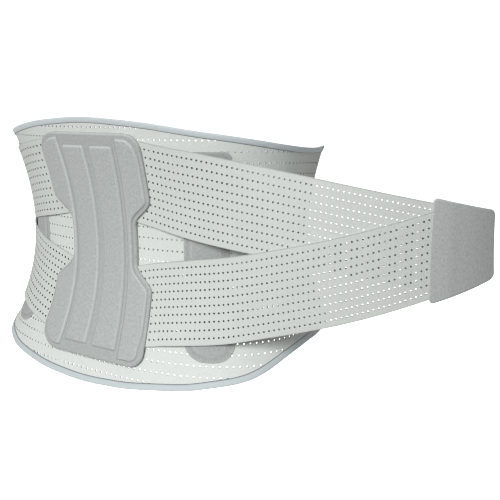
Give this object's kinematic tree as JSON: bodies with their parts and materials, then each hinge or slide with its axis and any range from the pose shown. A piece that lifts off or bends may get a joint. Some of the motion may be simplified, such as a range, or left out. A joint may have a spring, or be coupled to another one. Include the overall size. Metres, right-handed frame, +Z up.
{
  "type": "lumbar support belt",
  "caption": "Lumbar support belt closed round the waist: perforated knit, padded steel-stayed back panel, side stays, and crossing pull straps ending in hand tabs.",
  "frame": {"origin": "centre of the wearer's waist, inside the closed belt", "axes": "+Z up along the trunk, the lumbar panel faces -Y, +X towards the wearer's side whose pull straps are drawn out"},
  "size_m": [0.5455, 0.2592, 0.2618],
  "materials": {
    "belt_knit": "perforated spacer knit, matt",
    "strap_elastic": "perforated woven elastic, matt",
    "binding": "smooth elastic edging",
    "panel_cover": "moulded padded fabric",
    "panel_lining": "brushed knit",
    "pocket_cover": "bonded fabric",
    "tab_cover": "bonded fabric",
    "foam": "soft foam",
    "hook_tape": "hook tape",
    "loop_tape": "brushed loop tape",
    "spring_steel": "tempered strip",
    "stay_cap_plastic": "moulded",
    "stiffener_plastic": "moulded sheet"
  },
  "bodies": {
    "back": {"back_fabric": "belt_knit", "back_binding_top": "binding", "back_binding_bottom": "binding", "lumbar_panel_lining": "panel_lining", "lumbar_panel_cover": "panel_cover", "lumbar_panel_pad_1": "foam", "lumbar_panel_pad_2": "foam", "lumbar_panel_pad_3": "foam", "lumbar_panel_pad_4": "foam", "lumbar_stay_1": "spring_steel", "lumbar_stay_2": "spring_steel", "lumbar_stay_3": "spring_steel", "lumbar_stay_4": "spring_steel", "lumbar_stay_caps": "stay_cap_plastic", "left_bend_fabric": "belt_knit", "left_bend_bindings": "binding", "left_strap_roots": "strap_elastic", "left_bend_straps": "strap_elastic", "right_bend_fabric": "belt_knit", "right_bend_bindings": "binding", "right_strap_roots": "strap_elastic", "right_bend_straps": "strap_elastic"},
    "left_wing": {"left_wing_fabric": "belt_knit", "left_binding_top": "binding", "left_binding_bottom": "binding", "left_end_binding": "binding", "left_side_pocket": "pocket_cover", "left_side_stay": "stiffener_plastic", "left_closure_hook_pad": "hook_tape"},
    "left_straps": {"left_upper_strap": "strap_elastic", "left_lower_strap": "strap_elastic"},
    "left_tab": {"left_tab_cover": "tab_cover", "left_tab_core": "stiffener_plastic", "left_tab_hook_pad": "hook_tape"},
    "right_wing": {"right_wing_fabric": "belt_knit", "right_binding_top": "binding", "right_binding_bottom": "binding", "right_end_binding": "binding", "right_side_pocket": "pocket_cover", "right_side_stay": "stiffener_plastic", "right_closure_loop_pad": "loop_tape"},
    "right_straps": {"right_upper_strap": "strap_elastic", "right_lower_strap": "strap_elastic"},
    "right_tab": {"right_tab_cover": "tab_cover", "right_tab_core": "stiffener_plastic", "right_tab_hook_pad": "hook_tape"}
  },
  "joints": [
    {"name": "left_wing_open", "type": "hinge", "parent": "back", "child": "left_wing", "pos_m": [-0.0835, -0.1105, 0], "axis": [0, 0, 1], "range_deg": [0, 60], "deforming": ["left_bend_fabric", "left_bend_bindings", "left_bend_straps"]},
    {"name": "right_wing_open", "type": "hinge", "parent": "back", "child": "right_wing", "pos_m": [0.0835, -0.1105, 0], "axis": [0, 0, -1], "range_deg": [0, 30], "deforming": ["right_bend_fabric", "right_bend_bindings", "right_bend_straps"]},
    {"name": "left_straps_swing", "type": "hinge", "parent": "left_wing", "child": "left_straps", "pos_m": [-0.0835, -0.1105, 0], "axis": [0, 0, 1], "range_deg": [0, 45]},
    {"name": "right_straps_swing", "type": "hinge", "parent": "right_wing", "child": "right_straps", "pos_m": [0.0835, -0.1105, 0], "axis": [0, 0, -1], "range_deg": [0, 45]},
    {"name": "left_tab_peel", "type": "hinge", "parent": "left_straps", "child": "left_tab", "pos_m": [-0.1132, 0.095, 0], "axis": [0, 0, 1], "range_deg": [0, 50]},
    {"name": "right_tab_flex", "type": "hinge", "parent": "right_straps", "child": "right_tab", "pos_m": [0.3091, 0.0054, 0], "axis": [0, 0, -1], "range_deg": [-40, 40]}
  ],
  "couplings": [
    {"joint": "right_wing_open", "follows": "left_wing_open", "ratio": 0.5}
  ]
}
